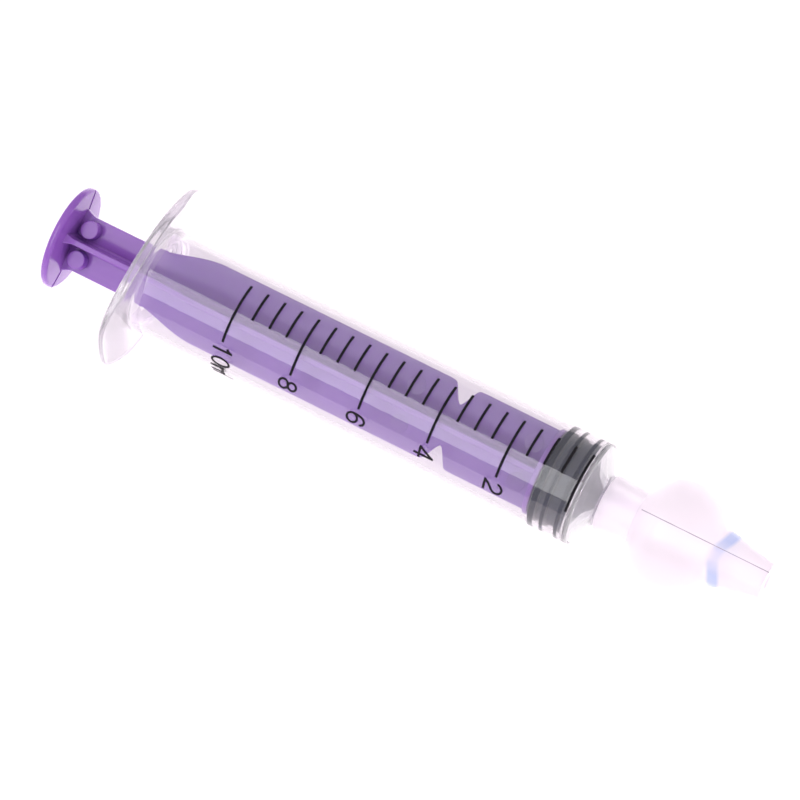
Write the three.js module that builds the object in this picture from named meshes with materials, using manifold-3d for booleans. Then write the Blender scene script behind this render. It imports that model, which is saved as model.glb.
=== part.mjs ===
// A 10 mL oral syringe with a soft nasal tip, lying on a table with its plunger pushed home.
//
// Lengths are in millimetres. Stations run along the axis from the rear face of the finger flange
// toward the nose. Angles run about the axis from the top (+Z) toward the front (-Y).
// In the finished group +X points to the nose, +Z is up and the origin is on the table,
// under the middle of the syringe.
import * as THREE from 'three';
import { mergeVertices } from 'three/addons/utils/BufferGeometryUtils.js';
import Module from 'manifold-3d';

const wasm = await Module();
wasm.setup();

// Driving dimensions -------------------------------------------------------------------------

const CAPACITY_ML = 10;
const BORE_RADIUS = 7.35;
const WALL = 1.0;
const BARREL_RADIUS = BORE_RADIUS + WALL;
const FULL_MARK_STATION = 17.3;
const MM_PER_ML = 1000 / (Math.PI * BORE_RADIUS ** 2);

const FLANGE_THICKNESS = 1.6;
const FLANGE_WING_THICKNESS = 0.85;
const FLANGE_TAPER_START = 9;
const FLANGE_TAPER_END = 14;
const FLANGE_HALF_HEIGHT = 10.6;
const FLANGE_ELLIPSE_HALF_WIDTH = 17;
const FLANGE_HALF_WIDTH = 15.2;
const FLANGE_CORNER_SHARPNESS = 16;
const FLANGE_POINTS = 48;
const FLANGE_EDGE_RADIUS = 0.35;
const FLANGE_FILLET = 0.6;

const MOUTH_RADIUS = 7.85;
const MOUTH_DEPTH = 2.5;
const RING_STATION = 3.3;
const RING_RADIUS = 7.1;
const RING_LENGTH = 0.5;
const RING_FRONT_STATION = 4.5;

const BORE_END_STATION = 76.3;
const SHOULDER_STATION = 77.2;
const SHOULDER_RADIUS = 0.5;
const SHOULDER_SLOPE = 0.1;
const HUB_STATION = 79.3;
const HUB_RADIUS = 4.3;
const NOZZLE_END_STATION = 87;
const NOZZLE_ROOT_RADIUS = 2.15;
const NOZZLE_END_RADIUS = 1.93;
const NOZZLE_EDGE_RADIUS = 0.25;
const CHANNEL_RADIUS = 1.0;
const CHANNEL_START_STATION = 79.1;

const PLUNGER_ROLL = 31;
const THUMB_DISC_RADIUS = 8.3;
const THUMB_DISC_REAR = -14.3;
const THUMB_DISC_FRONT = -12.85;
const THUMB_DISC_RIM = 1.15;
const THUMB_DISC_EDGE_RADIUS = 0.45;
const RIB_THICKNESS = 0.9;
const RIB_SLIM = 4.5;
const RIB_FULL = 6.6;
const RIB_FLARE_START = 1.5;
const RIB_FLARE_END = 10.5;
const RIB_FLARE_START_PULL = { along: 1.5, out: 0.8 };
const RIB_FLARE_END_PULL = 4;
const RIB_FOOT = 0.7;
const RIB_OVERLAP = 0.3;
const NOTCH_STATION = 53.05;
const NOTCH_FLOOR = 3.45;
const NOTCH_FLOOR_RADIUS = 0.55;
const NOTCH_FLOOR_PULL = 0.3;
const NOTCH_FLANK_FOOT = NOTCH_FLOOR + 0.7;
const NOTCH_FLANK_TOP = RIB_FULL - 0.85;
const NOTCH_FLANK_RUN = 0.75;
const NOTCH_SHOULDER_PULL = 0.6;
const NOTCH_HALF_LENGTH = 3.2;
const FRONT_DISC_REAR = 69.2;
const FRONT_DISC_FACE = 70.05;
const FRONT_DISC_RADIUS = 7.0;
const NECK_RADIUS = 2.4;
const HEAD_RADIUS = 3.6;
const HEAD_REAR = 71.7;
const HEAD_FRONT = 74;
const HEAD_CHAMFER = 0.3;
const PAD_STATION = -10.8;
const PAD_OFFSET = 2.5;
const PAD_RADIUS = 1.5;
const PAD_HEIGHT = 2;
const BOSS_DRAFT = 0.05;
const BOSS_SUNK = 0.3;
const WITNESS_STATIONS = [45.8, 66];
const WITNESS_OFFSET = 3.25;
const WITNESS_RADIUS = 1.5;
const WITNESS_HEIGHT = 0.1;

const STOPPER_REAR = 70.2;
const STOPPER_RINGS = [
  { from: 70.35, to: 71.5 },
  { from: 72.3, to: 73.2 },
  { from: 74.75, to: 75.65 },
];
const STOPPER_RING_RADIUS = BORE_RADIUS - 0.07;
const STOPPER_GROOVE_RADIUS = 6.8;
const STOPPER_RING_SLOPE = 0.1;
const STOPPER_RING_ROUNDING = 0.8;
const STOPPER_NOSE_ROOT_STATION = 77;
const STOPPER_NOSE_ROOT_RADIUS = 3.1;
const STOPPER_NOSE_STATION = 78.5;
const STOPPER_NOSE_RADIUS = 1.2;
const SOCKET_CLEARANCE = 0.35;

const TIP_REAR = 79.6;
const TIP_SLEEVE_RADIUS = 4.4;
const TIP_SLEEVE_END = 85.45;
const TIP_BULB_STATION = 90.5;
const TIP_BULB_RADIUS = 8.9;
const TIP_BULB_REAR_LENGTH = 6;
const TIP_NECK_STATION = 98.1;
const TIP_NECK_RADIUS = 4.5;
const TIP_NECK_BLEND_BACK = 1.3;
const TIP_NECK_BLEND_FRONT = 0.8;
const TIP_NECK_PULL = { along: 0.2, out: 0.3 };
const TIP_SPOUT_STEP = 0.1;
const TIP_END = 106.9;
const TIP_END_RADIUS = 2.85;
const TIP_END_EDGE_RADIUS = 0.35;
const TIP_SOCKET_END = 87.4;
const TIP_SOCKET_CLEARANCE = 0.3;
const TIP_CHANNEL_RADIUS = 1.1;

const TICK_STEP_ML = 0.5;
const LONG_TICK_STEP_ML = 2;
const TICK_WIDTH = 0.42;
const TICK_START_ANGLE = -15.7;
const SHORT_TICK_END_ANGLE = 19.1;
const LONG_TICK_END_ANGLE = 53.6;
const INK_GAP = 0.03;
const INK_THICKNESS = 0.05;
const FIGURE_START_ANGLE = 58.5;
const FIGURE_HEIGHT = 3.35;
const CAPACITY_FIGURE_SHIFT = 0.38;
const PEN_WIDTH = 0.38;
const PRISM_DEPTH = 3;

const FACETS = 36;
const INK_FACETS = 72;
const ARC_STEPS = 3;
const RIB_CURVE_STEPS = 4;
const BULB_STEPS = 14;
const PEN_CURVE_STEPS = 8;
const LOOP_STEPS = 7;
const TICK_FACET_ANGLE = 5;
const BOSS_FACETS = 14;

const AXIS_HEIGHT = FLANGE_HALF_HEIGHT;
const MIDDLE_STATION = (THUMB_DISC_REAR + TIP_END) / 2;

// Materials ----------------------------------------------------------------------------------

const clearPlastic = { color: 0xf4eef8, roughness: 0.12, metalness: 0, transparent: true, opacity: 0.35 };
const purplePlastic = { color: 0x5b2d91, roughness: 0.28, metalness: 0 };
const greyRubber = { color: 0x3b3d45, roughness: 0.55, metalness: 0 };
const clearSilicone = { color: 0xf3e9f6, roughness: 0.3, metalness: 0, transparent: true, opacity: 0.5 };
const blackInk = { color: 0x141216, roughness: 0.5, metalness: 0 };

// Solids -------------------------------------------------------------------------------------

// Closed geometry to a solid that can be joined and cut. A lathe outline that touches the axis
// leaves triangles with two corners in one point there, and those are dropped.
function toSolid(geometry) {
  geometry.deleteAttribute('normal');
  geometry.deleteAttribute('uv');
  const merged = mergeVertices(geometry, 1e-4);
  const corners = merged.index.array;
  const kept = [];
  for (let i = 0; i < corners.length; i += 3) {
    const [a, b, c] = [corners[i], corners[i + 1], corners[i + 2]];
    if (a !== b && b !== c && c !== a) kept.push(a, b, c);
  }
  const vertProperties = new Float32Array(merged.attributes.position.array);
  const triVerts = new Uint32Array(kept);
  return new wasm.Manifold(new wasm.Mesh({ numProp: 3, vertProperties, triVerts }));
}

function toGeometry(solid) {
  const mesh = solid.getMesh();
  const geometry = new THREE.BufferGeometry();
  geometry.setAttribute('position', new THREE.BufferAttribute(mesh.vertProperties, 3));
  geometry.setIndex(new THREE.BufferAttribute(mesh.triVerts, 1));
  geometry.computeVertexNormals();
  return geometry;
}

function unite(solids) {
  return solids.reduce((joined, solid) => joined.add(solid));
}

// Turns an outline of (radius, station) points about the syringe's axis.
function revolve(outline, facets = FACETS) {
  const geometry = new THREE.LatheGeometry(outline.getPoints(ARC_STEPS), facets);
  geometry.rotateZ(-Math.PI / 2);
  return toSolid(geometry);
}

// A frame on the axis at a station, turned by an angle: x points across the axis to that angle's
// right-hand side, y along the axis to the nose, z outward.
function frameAt(station, degrees) {
  const angle = THREE.MathUtils.degToRad(degrees);
  const across = new THREE.Vector3(0, -Math.cos(angle), -Math.sin(angle));
  const along = new THREE.Vector3(1, 0, 0);
  const outward = new THREE.Vector3(0, -Math.sin(angle), Math.cos(angle));
  return new THREE.Matrix4().makeBasis(across, along, outward).setPosition(station, 0, 0);
}

// Barrel -------------------------------------------------------------------------------------

// The flange's outline: an ellipse with its two ends cut straight. The sharpness blends the two,
// so that the corners between them are rounded.
function flangeOutline() {
  const points = [];
  for (let i = 0; i < FLANGE_POINTS; i++) {
    const angle = 2 * Math.PI * i / FLANGE_POINTS;
    const [across, up] = [Math.cos(angle), Math.sin(angle)];
    const ellipse = Math.hypot(across / FLANGE_ELLIPSE_HALF_WIDTH, up / FLANGE_HALF_HEIGHT);
    const end = Math.abs(across) / FLANGE_HALF_WIDTH;
    const reach = (ellipse ** FLANGE_CORNER_SHARPNESS + end ** FLANGE_CORNER_SHARPNESS)
      ** (-1 / FLANGE_CORNER_SHARPNESS);
    points.push(new THREE.Vector2(reach * across, reach * up));
  }
  return new THREE.Shape(points);
}

// The space in front of a wing that the taper takes away; side is 1 or -1.
function wingTaper(side) {
  const beyond = 2 * FLANGE_HALF_WIDTH;
  const shape = new THREE.Shape([
    new THREE.Vector2(FLANGE_THICKNESS, FLANGE_TAPER_START),
    new THREE.Vector2(FLANGE_WING_THICKNESS, FLANGE_TAPER_END),
    new THREE.Vector2(FLANGE_WING_THICKNESS, beyond),
    new THREE.Vector2(2 * FLANGE_THICKNESS, beyond),
    new THREE.Vector2(2 * FLANGE_THICKNESS, FLANGE_TAPER_START),
  ]);
  const geometry = new THREE.ExtrudeGeometry(shape, { depth: 2 * beyond, bevelEnabled: false });
  geometry.translate(0, 0, -beyond);
  if (side < 0) geometry.rotateX(Math.PI);
  return toSolid(geometry);
}

// The two wings taper on the front face.
function flangePlate() {
  const geometry = new THREE.ExtrudeGeometry(flangeOutline(), {
    depth: FLANGE_THICKNESS - 2 * FLANGE_EDGE_RADIUS,
    bevelThickness: FLANGE_EDGE_RADIUS,
    bevelSize: FLANGE_EDGE_RADIUS,
    bevelOffset: -FLANGE_EDGE_RADIUS,
    bevelSegments: 2,
  });
  geometry.translate(0, 0, FLANGE_EDGE_RADIUS);
  const toAxis = new THREE.Matrix4().makeBasis(
    new THREE.Vector3(0, 1, 0), new THREE.Vector3(0, 0, 1), new THREE.Vector3(1, 0, 0));
  const plate = toSolid(geometry.applyMatrix4(toAxis));
  return plate.subtract(wingTaper(1)).subtract(wingTaper(-1));
}

// Tube, fillet to the flange, rounded shoulder, front cone, hub and tapered slip nozzle.
function barrelOutside() {
  const fillet = FLANGE_FILLET;
  const start = FLANGE_THICKNESS / 2;
  const nozzleEdge = NOZZLE_EDGE_RADIUS;
  const outline = new THREE.Path();
  outline.moveTo(0, start);
  outline.lineTo(BARREL_RADIUS + fillet, start);
  outline.lineTo(BARREL_RADIUS + fillet, FLANGE_THICKNESS);
  outline.absarc(BARREL_RADIUS + fillet, FLANGE_THICKNESS + fillet, fillet, -Math.PI / 2, -Math.PI, true);
  outline.lineTo(BARREL_RADIUS, SHOULDER_STATION - SHOULDER_RADIUS);
  outline.quadraticCurveTo(BARREL_RADIUS, SHOULDER_STATION - SHOULDER_SLOPE,
    BARREL_RADIUS - SHOULDER_RADIUS, SHOULDER_STATION + SHOULDER_SLOPE);
  outline.lineTo(HUB_RADIUS, HUB_STATION);
  outline.lineTo(NOZZLE_ROOT_RADIUS, HUB_STATION);
  outline.lineTo(NOZZLE_END_RADIUS, NOZZLE_END_STATION - nozzleEdge);
  outline.quadraticCurveTo(NOZZLE_END_RADIUS, NOZZLE_END_STATION,
    NOZZLE_END_RADIUS - nozzleEdge, NOZZLE_END_STATION);
  outline.lineTo(0, NOZZLE_END_STATION);
  return outline;
}

// Wider mouth, retaining ring that stops the stopper, bore, inner cone and the nozzle's channel.
function barrelCavity() {
  const past = 1;
  const outline = new THREE.Path();
  outline.moveTo(0, -past);
  outline.lineTo(MOUTH_RADIUS, -past);
  outline.lineTo(MOUTH_RADIUS, MOUTH_DEPTH);
  outline.lineTo(RING_RADIUS, RING_STATION);
  outline.lineTo(RING_RADIUS, RING_STATION + RING_LENGTH);
  outline.lineTo(BORE_RADIUS, RING_FRONT_STATION);
  outline.lineTo(BORE_RADIUS, BORE_END_STATION);
  outline.lineTo(CHANNEL_RADIUS, CHANNEL_START_STATION);
  outline.lineTo(CHANNEL_RADIUS, NOZZLE_END_STATION + past);
  outline.lineTo(0, NOZZLE_END_STATION + past);
  return outline;
}

function barrel() {
  return revolve(barrelOutside()).add(flangePlate()).subtract(revolve(barrelCavity()));
}

// Plunger rod --------------------------------------------------------------------------------

// One rib from the axis outward, drawn as (station, reach): a small foot at the thumb disc, the
// slim finger length, the flare to full reach inside the barrel and, on a blade rib, the notch.
function ribOutline(notched) {
  const rear = THUMB_DISC_FRONT - RIB_OVERLAP;
  const front = FRONT_DISC_REAR + RIB_OVERLAP;
  const shape = new THREE.Shape();
  shape.moveTo(rear, -RIB_THICKNESS / 2);
  shape.lineTo(front, -RIB_THICKNESS / 2);
  shape.lineTo(front, RIB_FULL);
  if (notched) traceNotch(shape);
  shape.lineTo(RIB_FLARE_END, RIB_FULL);
  shape.bezierCurveTo(RIB_FLARE_END - RIB_FLARE_END_PULL, RIB_FULL,
    RIB_FLARE_START + RIB_FLARE_START_PULL.along, RIB_SLIM + RIB_FLARE_START_PULL.out,
    RIB_FLARE_START, RIB_SLIM);
  shape.lineTo(THUMB_DISC_FRONT + 3 * RIB_FOOT, RIB_SLIM);
  shape.quadraticCurveTo(THUMB_DISC_FRONT + RIB_FOOT, RIB_SLIM, THUMB_DISC_FRONT, RIB_SLIM + RIB_FOOT);
  shape.lineTo(rear, RIB_SLIM + RIB_FOOT);
  return shape;
}

// The notch, from its front shoulder to its rear shoulder: wide rounded shoulders and a small
// rounded floor.
function traceNotch(shape) {
  const floorHalf = NOTCH_FLOOR_RADIUS;
  const steep = floorHalf + NOTCH_FLANK_RUN;
  const pull = steep + NOTCH_SHOULDER_PULL;
  shape.lineTo(NOTCH_STATION + NOTCH_HALF_LENGTH, RIB_FULL);
  shape.quadraticCurveTo(NOTCH_STATION + pull, RIB_FULL, NOTCH_STATION + steep, NOTCH_FLANK_TOP);
  shape.lineTo(NOTCH_STATION + floorHalf, NOTCH_FLANK_FOOT);
  shape.bezierCurveTo(NOTCH_STATION + NOTCH_FLOOR_PULL, NOTCH_FLOOR,
    NOTCH_STATION - NOTCH_FLOOR_PULL, NOTCH_FLOOR, NOTCH_STATION - floorHalf, NOTCH_FLANK_FOOT);
  shape.lineTo(NOTCH_STATION - steep, NOTCH_FLANK_TOP);
  shape.quadraticCurveTo(NOTCH_STATION - pull, RIB_FULL, NOTCH_STATION - NOTCH_HALF_LENGTH, RIB_FULL);
}

// A rib stands on the axis at an angle, centred on its own thickness.
function rib(degrees, notched) {
  const geometry = new THREE.ExtrudeGeometry(ribOutline(notched), {
    depth: RIB_THICKNESS,
    bevelEnabled: false,
    curveSegments: RIB_CURVE_STEPS,
  });
  geometry.translate(0, 0, -RIB_THICKNESS / 2);
  const angle = THREE.MathUtils.degToRad(degrees);
  const along = new THREE.Vector3(1, 0, 0);
  const outward = new THREE.Vector3(0, -Math.sin(angle), Math.cos(angle));
  const across = new THREE.Vector3().crossVectors(along, outward);
  return toSolid(geometry.applyMatrix4(new THREE.Matrix4().makeBasis(along, outward, across)));
}

// Thumb disc with a flat rear face, a rounded rim and a slightly coned front face.
function thumbDisc() {
  const rimFront = THUMB_DISC_REAR + THUMB_DISC_RIM;
  const edge = THUMB_DISC_EDGE_RADIUS;
  const outline = new THREE.Path();
  outline.moveTo(0, THUMB_DISC_REAR);
  outline.lineTo(THUMB_DISC_RADIUS - edge, THUMB_DISC_REAR);
  outline.absarc(THUMB_DISC_RADIUS - edge, THUMB_DISC_REAR + edge, edge, -Math.PI / 2, 0, false);
  outline.absarc(THUMB_DISC_RADIUS - edge, rimFront - edge, edge, 0, Math.PI / 2, false);
  outline.lineTo(RIB_SLIM, THUMB_DISC_FRONT);
  outline.lineTo(0, THUMB_DISC_FRONT);
  return revolve(outline);
}

// Front disc, neck and the round head that snaps into the stopper.
function rodHead() {
  const edge = HEAD_CHAMFER;
  const outline = new THREE.Path();
  outline.moveTo(0, FRONT_DISC_REAR);
  outline.lineTo(FRONT_DISC_RADIUS, FRONT_DISC_REAR);
  outline.lineTo(FRONT_DISC_RADIUS, FRONT_DISC_FACE - edge);
  outline.lineTo(FRONT_DISC_RADIUS - edge, FRONT_DISC_FACE);
  outline.lineTo(NECK_RADIUS, FRONT_DISC_FACE);
  outline.lineTo(NECK_RADIUS, HEAD_REAR);
  outline.lineTo(HEAD_RADIUS, HEAD_REAR + edge);
  outline.lineTo(HEAD_RADIUS, HEAD_REAR + 3 * edge);
  outline.quadraticCurveTo(HEAD_RADIUS, HEAD_FRONT, NECK_RADIUS, HEAD_FRONT);
  outline.lineTo(0, HEAD_FRONT);
  return revolve(outline);
}

// A round boss on the blade face that looks to the first rib's side.
function boss(station, offset, radius, height) {
  const sunk = BOSS_SUNK;
  const length = RIB_THICKNESS / 2 + height + sunk;
  const topRadius = radius - BOSS_DRAFT * height;
  const geometry = new THREE.CylinderGeometry(topRadius, radius, length, BOSS_FACETS);
  geometry.rotateX(Math.PI / 2);
  geometry.translate(offset, 0, length / 2 - sunk);
  return toSolid(geometry.applyMatrix4(frameAt(station, PLUNGER_ROLL)));
}

function plungerRod() {
  const ribs = [0, 1, 2, 3].map((turn) => rib(PLUNGER_ROLL + 90 * turn, turn % 2 === 1));
  const pads = [-1, 1].map((side) => boss(PAD_STATION, side * PAD_OFFSET, PAD_RADIUS, PAD_HEIGHT));
  const marks = WITNESS_STATIONS.flatMap((station) => [-1, 1].map(
    (side) => boss(station, side * WITNESS_OFFSET, WITNESS_RADIUS, WITNESS_HEIGHT)));
  return unite([thumbDisc(), rodHead(), ...ribs, ...pads, ...marks]);
}

// Stopper ------------------------------------------------------------------------------------

// Three rounded sealing rings with grooves between them, a shallow conical face with a nose and,
// at the back, the socket for the rod's head.
function stopper() {
  const slope = STOPPER_RING_SLOPE;
  const rise = (STOPPER_RING_RADIUS - STOPPER_GROOVE_RADIUS) * STOPPER_RING_ROUNDING;
  const headFront = HEAD_FRONT + SOCKET_CLEARANCE;
  const headRear = HEAD_REAR - SOCKET_CLEARANCE;
  const headRadius = HEAD_RADIUS + SOCKET_CLEARANCE;
  const outline = new THREE.Path();
  outline.moveTo(NECK_RADIUS + SOCKET_CLEARANCE, STOPPER_REAR);
  outline.lineTo(STOPPER_GROOVE_RADIUS, STOPPER_REAR);
  for (const { from, to } of STOPPER_RINGS) {
    outline.lineTo(STOPPER_GROOVE_RADIUS, from - slope);
    outline.quadraticCurveTo(STOPPER_RING_RADIUS, from - slope / 2, STOPPER_RING_RADIUS, from + rise);
    outline.lineTo(STOPPER_RING_RADIUS, to - rise);
    outline.quadraticCurveTo(STOPPER_RING_RADIUS, to + slope / 2, STOPPER_GROOVE_RADIUS, to + slope);
  }
  outline.lineTo(STOPPER_NOSE_ROOT_RADIUS, STOPPER_NOSE_ROOT_STATION);
  outline.lineTo(STOPPER_NOSE_RADIUS, STOPPER_NOSE_STATION);
  outline.lineTo(0, STOPPER_NOSE_STATION);
  outline.lineTo(0, headFront);
  outline.lineTo(headRadius, headFront);
  outline.lineTo(headRadius, headRear);
  outline.lineTo(NECK_RADIUS + SOCKET_CLEARANCE, headRear);
  outline.lineTo(NECK_RADIUS + SOCKET_CLEARANCE, STOPPER_REAR);
  return revolve(outline);
}

// Nasal tip ----------------------------------------------------------------------------------

// The bulb's reach at a station: half an ellipsoid behind its middle, half a sphere before it.
function bulbReach(station) {
  const offset = station - TIP_BULB_STATION;
  const length = offset < 0 ? TIP_BULB_REAR_LENGTH : TIP_BULB_RADIUS;
  return TIP_BULB_RADIUS * Math.sqrt(1 - (offset / length) ** 2);
}

// Sleeve, bulb, concave neck and tapered spout, with the nozzle's socket and the channel inside.
function nasalTip() {
  const neckBlend = TIP_NECK_STATION - TIP_NECK_BLEND_BACK;
  const edge = TIP_END_EDGE_RADIUS;
  const socketRear = NOZZLE_ROOT_RADIUS + TIP_SOCKET_CLEARANCE;
  const socketFront = NOZZLE_END_RADIUS + TIP_SOCKET_CLEARANCE;
  const outline = new THREE.Path();
  outline.moveTo(socketRear, TIP_REAR);
  outline.lineTo(TIP_SLEEVE_RADIUS - edge, TIP_REAR);
  outline.lineTo(TIP_SLEEVE_RADIUS, TIP_REAR + edge);
  outline.lineTo(TIP_SLEEVE_RADIUS, TIP_SLEEVE_END);
  for (let i = 0; i <= BULB_STEPS; i++) {
    const turn = (1 - Math.cos(Math.PI * i / BULB_STEPS)) / 2;
    const station = THREE.MathUtils.lerp(TIP_SLEEVE_END, neckBlend, turn);
    outline.lineTo(bulbReach(station), station);
  }
  outline.quadraticCurveTo(
    TIP_NECK_RADIUS + TIP_NECK_PULL.out, TIP_NECK_STATION - TIP_NECK_PULL.along,
    TIP_NECK_RADIUS - TIP_SPOUT_STEP, TIP_NECK_STATION + TIP_NECK_BLEND_FRONT);
  outline.lineTo(TIP_END_RADIUS, TIP_END - edge);
  outline.quadraticCurveTo(TIP_END_RADIUS, TIP_END, TIP_END_RADIUS - edge, TIP_END);
  outline.lineTo(TIP_CHANNEL_RADIUS, TIP_END);
  outline.lineTo(TIP_CHANNEL_RADIUS, TIP_SOCKET_END);
  outline.lineTo(socketFront, TIP_SOCKET_END);
  outline.lineTo(socketRear, TIP_REAR);
  return revolve(outline);
}

// Printed scale ------------------------------------------------------------------------------

const INK_RADIUS = BARREL_RADIUS + INK_GAP;

function markStation(millilitres) {
  return FULL_MARK_STATION + (CAPACITY_ML - millilitres) * MM_PER_ML;
}

// A tick is a thin box bent round the barrel.
function tick(millilitres) {
  const long = millilitres % LONG_TICK_STEP_ML === 0;
  const endAngle = long ? LONG_TICK_END_ANGLE : SHORT_TICK_END_ANGLE;
  const segments = Math.ceil((endAngle - TICK_START_ANGLE) / TICK_FACET_ANGLE);
  const geometry = new THREE.BoxGeometry(1, TICK_WIDTH, INK_THICKNESS, segments, 1, 1);
  const position = geometry.attributes.position;
  for (let i = 0; i < position.count; i++) {
    const degrees = THREE.MathUtils.lerp(TICK_START_ANGLE, endAngle, position.getX(i) + 0.5);
    const angle = THREE.MathUtils.degToRad(degrees);
    const reach = INK_RADIUS + INK_THICKNESS / 2 + position.getZ(i);
    const station = markStation(millilitres) + position.getY(i);
    position.setXYZ(i, station, -reach * Math.sin(angle), reach * Math.cos(angle));
  }
  return toSolid(geometry);
}

// A pen stroke: the outline on both sides of a flat curve.
function stroke(curve, steps) {
  const left = [];
  const right = [];
  for (let i = 0; i <= steps; i++) {
    const point = curve.getPoint(i / steps);
    const tangent = curve.getTangent(i / steps);
    const side = new THREE.Vector2(-tangent.y, tangent.x).multiplyScalar(PEN_WIDTH / 2);
    left.push(point.clone().add(side));
    right.push(point.clone().sub(side));
  }
  return new THREE.Shape([...right, ...left.reverse()]);
}

function line(fromX, fromY, toX, toY) {
  return stroke(new THREE.LineCurve(new THREE.Vector2(fromX, fromY), new THREE.Vector2(toX, toY)), 1);
}

// An arc of an ellipse, its angles in degrees counted anticlockwise.
function arc(x, y, radiusX, radiusY, from, to) {
  const [start, end] = [from, to].map(THREE.MathUtils.degToRad);
  const curve = new THREE.EllipseCurve(x, y, radiusX, radiusY, start, end, to < from);
  return stroke(curve, PEN_CURVE_STEPS);
}

function bend(...points) {
  const corners = points.map(([x, y]) => new THREE.Vector2(x, y));
  return stroke(new THREE.CubicBezierCurve(...corners), PEN_CURVE_STEPS);
}

// A closed loop of the pen.
function loop(x, y, radiusX, radiusY) {
  const half = PEN_WIDTH / 2;
  const turn = 2 * Math.PI;
  const shape = new THREE.Shape().absellipse(x, y, radiusX + half, radiusY + half, 0, turn, false);
  const hole = new THREE.Path().absellipse(x, y, radiusX - half, radiusY - half, 0, turn, false);
  shape.holes.push(hole);
  return shape;
}

// Each figure's strokes, in a box that is its width wide and FIGURE_HEIGHT high.
const top = FIGURE_HEIGHT - PEN_WIDTH / 2;
const bottom = PEN_WIDTH / 2;
const xHeight = 2.3;
const figures = {
  1: {
    width: 2.1,
    strokes: () => [
      line(0.7, 0, 0.7, FIGURE_HEIGHT),
      line(0.7, top, 0.4, top - 0.6),
      line(0.45, top - 0.6, 0.05, top - 0.72),
    ],
  },
  2: {
    width: 2.2,
    strokes: () => [
      arc(1.2, top - 0.92, 0.92, 0.92, 178, -28),
      bend([2.01, top - 1.35], [1.65, 1.3], [0.65, 1.0], [0.35, bottom]),
      line(0.1, bottom, 2.25, bottom),
    ],
  },
  4: {
    width: 2.2,
    strokes: () => [
      line(1.65, 0, 1.65, FIGURE_HEIGHT),
      line(1.65, top, 0.22, 0.9),
      line(0.05, 0.93, 2.35, 0.93),
    ],
  },
  6: {
    width: 2.2,
    strokes: () => [
      loop(1.1, bottom + 0.87, 0.9, 0.87),
      bend([0.21, bottom + 0.85], [0.15, 2.2], [0.45, top], [1.22, top]),
      arc(1.2, top - 0.63, 0.71, 0.62, 100, -10),
    ],
  },
  8: {
    width: 2.2,
    strokes: () => [
      loop(1.1, bottom + 0.77, 0.88, 0.77),
      loop(1.1, top - 0.7, 0.74, 0.7),
    ],
  },
  0: {
    width: 2.2,
    strokes: () => [loop(1.03, FIGURE_HEIGHT / 2, 0.86, (FIGURE_HEIGHT - PEN_WIDTH) / 2)],
  },
  m: {
    width: 3.9,
    strokes: () => [
      line(0.47, 0, 0.47, xHeight),
      arc(1.22, xHeight - 0.94, 0.75, 0.75, 180, 0),
      line(1.97, 0, 1.97, xHeight - 0.9),
      arc(2.72, xHeight - 0.94, 0.75, 0.75, 180, 0),
      line(3.47, 0, 3.47, xHeight - 0.9),
    ],
  },
  l: { width: 0.8, strokes: () => [line(0.4, 0, 0.4, FIGURE_HEIGHT)] },
};

// The layer of ink is a thin shell round the barrel, and a figure is cut out of it by a prism that
// stands on the axis at the figure's middle.
function figure(sign, startAngle, station) {
  const width = figures[sign].width;
  const middle = startAngle + THREE.MathUtils.radToDeg(width / 2 / BARREL_RADIUS);
  const depth = PRISM_DEPTH;
  const prisms = figures[sign].strokes().map((shape) => {
    const geometry = new THREE.ExtrudeGeometry(shape, {
      depth,
      bevelEnabled: false,
      curveSegments: LOOP_STEPS,
    });
    geometry.translate(-width / 2, -FIGURE_HEIGHT / 2, BARREL_RADIUS - depth / 2);
    return toSolid(geometry.applyMatrix4(frameAt(station, middle)));
  });
  const shell = new THREE.Path();
  const reach = FIGURE_HEIGHT;
  shell.moveTo(INK_RADIUS, station - reach);
  shell.lineTo(INK_RADIUS + INK_THICKNESS, station - reach);
  shell.lineTo(INK_RADIUS + INK_THICKNESS, station + reach);
  shell.lineTo(INK_RADIUS, station + reach);
  shell.lineTo(INK_RADIUS, station - reach);
  return unite(prisms).intersect(revolve(shell, INK_FACETS));
}

// A row of figures written round the barrel, each with its own start angle.
function writing(signs, station) {
  let angle = FIGURE_START_ANGLE;
  return signs.map((sign) => {
    const solid = figure(sign, angle, station);
    angle += THREE.MathUtils.radToDeg(figures[sign].width / BARREL_RADIUS);
    return { sign, solid };
  });
}

// Assembly -----------------------------------------------------------------------------------

const syringe = new THREE.Group();
syringe.position.set(-MIDDLE_STATION, 0, AXIS_HEIGHT);

function addPiece(name, solid, look) {
  const mesh = new THREE.Mesh(toGeometry(solid), new THREE.MeshStandardMaterial(look));
  mesh.name = name;
  syringe.add(mesh);
}

addPiece('barrel', barrel(), clearPlastic);
addPiece('plunger_rod', plungerRod(), purplePlastic);
addPiece('stopper', stopper(), greyRubber);
addPiece('nasal_tip', nasalTip(), clearSilicone);

for (let step = 0; step <= CAPACITY_ML / TICK_STEP_ML; step++) {
  const millilitres = step * TICK_STEP_ML;
  const label = millilitres.toFixed(1).replace('.', '_');
  addPiece(`scale_tick_${label}_ml`, tick(millilitres), blackInk);
}

for (const millilitres of [2, 4, 6, 8]) {
  const [{ solid }] = writing([millilitres], markStation(millilitres));
  addPiece(`scale_figure_${millilitres}`, solid, blackInk);
}

const capacityStation = markStation(CAPACITY_ML) + CAPACITY_FIGURE_SHIFT;
for (const { sign, solid } of writing(['1', '0', 'm', 'l'], capacityStation)) {
  addPiece(`scale_figure_10ml_${sign}`, solid, blackInk);
}

const part = new THREE.Group();
part.add(syringe);

export default part;
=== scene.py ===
"""Looks of a 10 mL oral syringe with a soft nasal tip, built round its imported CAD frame.

Lengths inside the shape functions are millimetres: a station counts along the syringe's axis from
the rear face of the finger flange toward the nose, and an angle counts about the axis from the top
toward the front. Everything reaches Blender in metres.
"""

import math

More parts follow.
